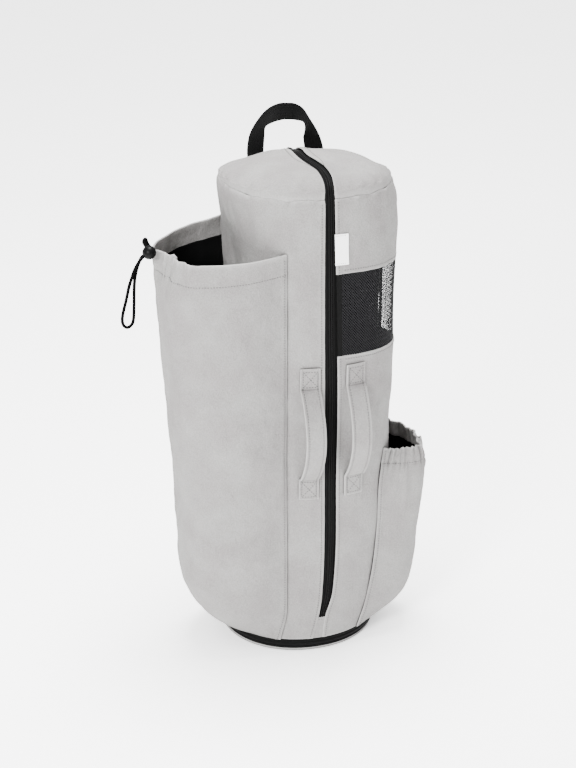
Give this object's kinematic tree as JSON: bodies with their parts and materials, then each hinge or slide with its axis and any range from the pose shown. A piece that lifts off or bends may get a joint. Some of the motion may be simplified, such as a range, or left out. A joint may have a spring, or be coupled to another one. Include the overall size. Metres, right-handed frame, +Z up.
{
  "type": "yoga mat bag",
  "caption": "Tall round canvas bag for a rolled mat, with a full-length zip, mesh window, block pocket, bottle pocket, carry handles and a webbing loop on top.",
  "frame": {"origin": "middle of the base on the floor", "axes": "+Z up along the bag, -Y towards the zipped front, -X towards the block pocket, +X towards the bottle pocket"},
  "size_m": [0.486, 0.2935, 0.8468],
  "materials": {
    "canvas": "plain weave, matt",
    "mesh": "open net",
    "zip_tape": "fine herringbone, matt",
    "zip_coil": "satin",
    "zip_metal": "satin black",
    "webbing": "ribbed weave, matt",
    "label": "smooth, blank",
    "stop_plastic": "gloss black",
    "cord": "braided elastic"
  },
  "bodies": {
    "root": {"left_panel": "canvas", "right_upper_panel": "canvas", "mesh_window": "mesh", "right_lower_panel": "canvas", "right_back_panel": "canvas", "cap_left": "canvas", "cap_right": "canvas", "zip_tape_left": "zip_tape", "zip_tape_right": "zip_tape", "zip_coil": "zip_coil", "zip_slider": "zip_metal", "zip_end_placket": "canvas", "base_board": "canvas", "base_zip": "zip_tape", "base_hinge_band": "canvas", "base_zip_slider": "zip_metal", "block_pocket": "canvas", "bottle_pocket": "canvas", "handle_left": "canvas", "handle_right": "canvas", "top_loop": "webbing", "side_label": "label", "cord_stop": "stop_plastic", "draw_cord_lead": "cord", "draw_cord_loop": "cord"}
  },
  "joints": []
}
